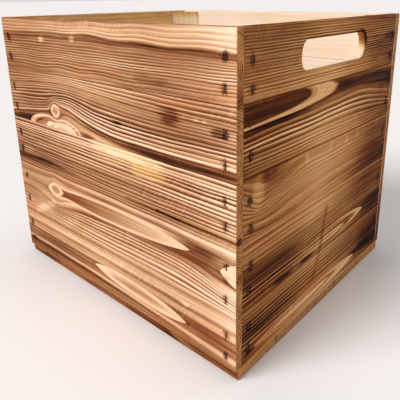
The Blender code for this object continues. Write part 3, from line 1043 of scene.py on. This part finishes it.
BURNT_COLORS = [
    (place, srgb(color))
    for place, color in (
        (0.0, "FCDFC3"), (0.14, "EFC6A3"), (0.28, "D6A67F"), (0.42, "B98A63"),
        (0.58, "956442"), (0.74, "693A20"), (0.88, "3E1D0D"), (1.0, "1E0B04"),
    )
]
BARE_COLORS = [
    (place, srgb(color))
    for place, color in (
        (0.0, "FFF4E6"), (0.16, "FBE5C6"), (0.32, "F1CC8E"), (0.6, "B98A52"), (1.0, "4A2C18"),
    )
]
RING_PROFILE = ((0.0, 0.62), (0.1, 1.0), (0.3, 0.72), (0.62, 0.3), (0.86, 0.0), (0.97, 0.12), (1.0, 0.6))


def make_wood(name, redness=0.5, chatter=0.03):
    """Scorched softwood from the fields on the mesh: rings, flames, knots, fibres and char."""
    n = Nodes(name)
    grain = n.field("grain", vector=True)
    jitter = n.noise(grain, (14.0, 260.0, 260.0), 3.0)
    phase = n.field("phase")
    uneven = n.add("TexNoise", {"noise_dimensions": "1D"}, W=phase, Scale=0.62, Detail=1.0)
    shaken = n.math("MULTIPLY_ADD", jitter, 0.24, phase)
    phase = n.math("MULTIPLY_ADD", uneven.outputs[0], 0.7, shaken)
    ring = n.math("FLOOR", phase)
    part = n.math("FRACT", phase)
    random = n.add("TexWhiteNoise", {"noise_dimensions": "1D"}, W=ring).outputs["Value"]
    fade = n.step(n.noise(grain, (7.0, 60.0, 60.0), 2.0), -0.22, 0.22, 0.45, 1.3)
    strength = n.math("MULTIPLY", n.math("MULTIPLY_ADD", random, 1.5, 1.1), fade)
    profile = n.ramp(part, RING_PROFILE)
    line = n.math("SUBTRACT", profile, 0.42)
    lines = n.math("MULTIPLY", n.math("MULTIPLY", line, strength), n.field("contrast"))
    tone = n.math("ADD", n.field("tone"), lines)
    excess = n.math("SUBTRACT", tone, n.math("MAXIMUM", n.field("tone"), 0.64))
    tone = n.math("MULTIPLY_ADD", n.math("MAXIMUM", excess, 0.0), -0.62, tone)

    flame = n.math("ADD", n.field("flare"), n.math("MULTIPLY", jitter, 0.12))
    inside = n.step(flame, -0.06, 0.06)
    core = n.step(flame, 0.75, 1.7)
    rim_tone = n.math("MULTIPLY_ADD", lines, 0.3, n.field("rim"))
    core_tone = n.math("MULTIPLY_ADD", lines, 0.5, n.field("core"))
    inner = n.blend(core, rim_tone, core_tone)
    outline = n.math("MULTIPLY", n.step(flame, -0.5, -0.05), n.step(flame, 0.04, -0.04))
    tone = n.math("MULTIPLY_ADD", outline, 0.1, n.blend(inside, tone, inner))

    knot = n.math("ADD", n.field("knot"), n.math("MULTIPLY", jitter, 0.15))
    in_knot = n.step(knot, 1.05, 0.92)
    knot_tone = n.ramp(knot, ((0.0, 0.5), (0.2, 0.36), (0.42, 0.42), (0.6, 0.16), (0.85, 0.1), (1.0, 0.3)))
    tone = n.blend(in_knot, tone, knot_tone)

    fibre = n.noise(grain, (28.0, 1500.0, 1500.0), 3.0, 0.65)
    streak = n.noise(grain, (9.0, 320.0, 320.0), 4.0, 0.6)
    mottle = n.noise(grain, (26.0, 90.0, 90.0), 4.0, 0.6)
    calm = n.math("MULTIPLY_ADD", n.field("raw"), -0.65, 1.0)
    fibre, streak, mottle = (n.math("MULTIPLY", noise, calm) for noise in (fibre, streak, mottle))
    tone = n.math("MULTIPLY_ADD", fibre, 0.2, tone)
    tone = n.math("MULTIPLY_ADD", streak, n.step(tone, 0.1, 0.8, 0.16, 0.42), tone)
    tone = n.math("MULTIPLY_ADD", mottle, 0.16, tone)
    place = n.add("VectorRotate", {"rotation_type": "Z_AXIS"}, Vector=grain, Angle=0.6)
    ticks = n.noise(place.outputs[0], (420.0, 70.0, 70.0), 2.0)
    rough_patch = n.step(n.noise(grain, (6.0, 34.0, 34.0), 1.0), 0.0, 0.2)
    tone = n.math("MULTIPLY_ADD", n.math("MULTIPLY", ticks, rough_patch), chatter * 9.0, tone)
    nicks = n.add("TexVoronoi", Vector=n.scaled(grain, (150.0, 55.0, 30.0)), Scale=1.0)
    rare = n.step(nicks.outputs["Color"], 0.9, 0.97)
    nick = n.math("MULTIPLY", n.step(nicks.outputs["Distance"], 0.32, 0.1), rare)
    tone = n.math("MULTIPLY_ADD", nick, -0.22, tone, clamp=True)

    burnt = n.ramp(tone, BURNT_COLORS)
    bare = n.ramp(tone, BARE_COLORS)
    color = n.blend_color(n.field("raw"), burnt, bare)
    # A yellow tint multiplied in: toast, and the painted colour of shade on the crate's shaded sides.
    toast_and_side_shade_tint = n.blend_color(n.field("warm"), (1.0, 1.0, 1.0, 1.0), (1.0, 0.88, 0.6, 1.0))
    color = n.blend_color(1.0, color, toast_and_side_shade_tint, "MULTIPLY")
    blush = n.step(n.noise(grain, (11.0, 30.0, 30.0), 2.0), -0.1, 0.35, 0.0, redness)
    blush = n.math("MULTIPLY", blush, n.step(tone, 0.15, 0.5))
    color = n.blend_color(blush, color, (0.62, 0.3, 0.2, 1.0), "SOFT_LIGHT")
    n.plug(n.shader.inputs["Base Color"], color)
    sheen = n.step(tone, 0.2, 1.0, 0.78, 0.66)
    n.plug(n.shader.inputs["Roughness"], n.math("MULTIPLY_ADD", streak, 0.3, sheen))
    n.shader.inputs["Specular IOR Level"].default_value = 0.05
    height = n.math("ADD", n.math("MULTIPLY", profile, -0.5), n.math("MULTIPLY", fibre, 0.9))
    bump = n.add("Bump", Height=height, Strength=0.35, Distance=0.0004)
    n.plug(n.shader.inputs["Normal"], bump.outputs["Normal"])
    return n.material


def make_steel():
    """Zinc-coated staple wire, browned by the flame in places."""
    n = Nodes("browned_steel")
    place = n.add("TexCoord").outputs["Object"]
    soot = n.noise(place, (300.0, 300.0, 300.0), 3.0, 0.6)
    scratch = n.noise(place, (2400.0, 2400.0, 900.0), 2.0)
    browns = ((0.25, srgb("20120B")), (0.5, srgb("46301F")), (0.75, srgb("745A45")))
    color = n.ramp(n.math("ADD", soot, 0.5), browns)
    n.plug(n.shader.inputs["Base Color"], color)
    n.shader.inputs["Metallic"].default_value = 0.35
    n.plug(n.shader.inputs["Roughness"], n.math("MULTIPLY_ADD", soot, -0.4, 0.42, clamp=True))
    bump = n.add("Bump", Height=scratch, Strength=0.3, Distance=0.0001)
    n.plug(n.shader.inputs["Normal"], bump.outputs["Normal"])
    return n.material


# ---- the crate


def build_crate():
    wall_wood = make_wood("scorched_spruce")
    post_wood = make_wood("pale_spruce", redness=0.2, chatter=0.02)
    floor_wood = make_wood("bottom_spruce", redness=0.3)
    steel = make_steel()
    for node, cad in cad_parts.items():
        if node.startswith("staple_"):
            cad.data.materials.clear()
            cad.data.materials.append(steel)
        elif node.startswith("post_"):
            build_post(node, post_wood)
        elif node.startswith("floor_"):
            build_board(node, WALLS["floor"], floor_wood)
        else:
            build_board(node, WALLS[node.split("_")[0]], wall_wood)


def build_extra_staples(steel):
    """The staples that the frame has no node for."""
    held = [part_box(node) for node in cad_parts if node.startswith("staple_")]
    for node in sorted(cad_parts):
        if node.startswith(("staple_", "post_", "floor_")):
            continue
        wall = WALLS[node.split("_")[0]]
        low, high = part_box(node)
        for number, spot in enumerate(staple_spots(node, wall, low, high), 1):
            place = wall.point(*spot, wall.face(low, high) - wall.outward * WIRE_DEPTH / 2)
            near = any(all(a[k] - 0.002 < place[k] < b[k] + 0.002 for k in range(3)) for a, b in held)
            if not near:
                build_staple(f"{node}_staple_{number}", wall, low, high, spot, steel)


build_crate()
build_extra_staples(bpy.data.materials["browned_steel"])
add_studio()
add_camera()
